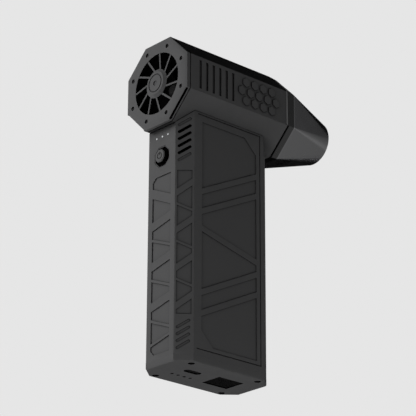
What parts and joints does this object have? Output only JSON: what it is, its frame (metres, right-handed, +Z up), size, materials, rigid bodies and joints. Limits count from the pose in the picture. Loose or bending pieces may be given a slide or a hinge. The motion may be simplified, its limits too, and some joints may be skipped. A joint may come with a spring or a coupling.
{
  "type": "car dryer blower",
  "caption": "Handheld cordless jet blower: eight-sided fan barrel with grille and tapered nozzle, set across the top of an upright battery handle.",
  "frame": {"origin": "centre of the handle's flat underside, on the plane that the blower stands on", "axes": "+X along the air stream towards the nozzle, +Y to the left of it, +Z up the handle"},
  "size_m": [0.1028, 0.0432, 0.1572],
  "materials": {
    "shell_plastic": "charcoal black moulded plastic, matte",
    "cover_plastic": "charcoal black moulded plastic, matte",
    "button_plastic": "charcoal plastic, satin",
    "bezel_black": "black plastic, matte",
    "inner_plastic": "black plastic, matte",
    "chip_black": "moulded epoxy, matte",
    "ribbon_white": "flat cable, matte",
    "board_laminate": "green lacquered laminate",
    "red_wire": "soft red insulation",
    "light_pipe": "clear to milky light pipe",
    "seal_rubber": "black rubber, matte",
    "black_steel": "blackened steel screw",
    "mesh_steel": "fine black mesh",
    "bright_steel": "bright steel",
    "core_steel": "stacked steel sheet",
    "magnet_grey": "ground magnet ring",
    "duct_aluminium": "turned aluminium, anodised black",
    "impeller_aluminium": "machined aluminium, anodised black",
    "winding_copper": "enamelled copper wire",
    "cell_jacket": "blue shrink sleeve"
  },
  "bodies": {
    "housing": {"rear_cover": "cover_plastic", "cover_screws": "black_steel", "cover_gasket": "seal_rubber", "barrel_housing": "shell_plastic", "nozzle_gasket": "seal_rubber", "nozzle": "shell_plastic", "fan_duct": "duct_aluminium", "damper_rings": "seal_rubber", "motor_bearings": "bright_steel", "stator_core": "core_steel", "stator_windings": "winding_copper", "motor_frame": "inner_plastic", "motor_end_cap": "inner_plastic", "tail_cone": "inner_plastic", "motor_leads": "red_wire", "handle_housing": "shell_plastic", "base_cap": "shell_plastic", "base_screws": "black_steel", "base_vent_mesh": "mesh_steel", "usb_socket": "bright_steel", "usb_tongue": "inner_plastic", "charging_board": "board_laminate", "battery_lights": "light_pipe", "battery_cells": "cell_jacket", "lower_cell_holder": "inner_plastic", "upper_cell_holder": "inner_plastic", "cell_straps": "bright_steel", "battery_leads": "red_wire", "charge_leads": "red_wire", "speed_board": "board_laminate", "power_transistors": "chip_black", "bulk_capacitor": "cell_jacket", "control_board": "board_laminate", "board_ribbon": "ribbon_white", "board_chips": "chip_black", "speed_lights": "light_pipe", "button_bezel": "bezel_black", "tact_switch": "chip_black"},
    "rotor": {"impeller": "impeller_aluminium", "motor_shaft": "bright_steel", "rotor_magnet": "magnet_grey"},
    "button": {"power_button": "button_plastic", "switch_plunger": "bright_steel"}
  },
  "joints": [
    {"name": "rotor_spin", "type": "hinge", "parent": "housing", "child": "rotor", "pos_m": [0, 0, 0.136], "axis": [1, 0, 0], "continuous": true},
    {"name": "button_press", "type": "slide", "parent": "housing", "child": "button", "axis": [1, 0, 0], "range_m": [0, 0.0005], "stiffness_N_per_m": 800}
  ]
}
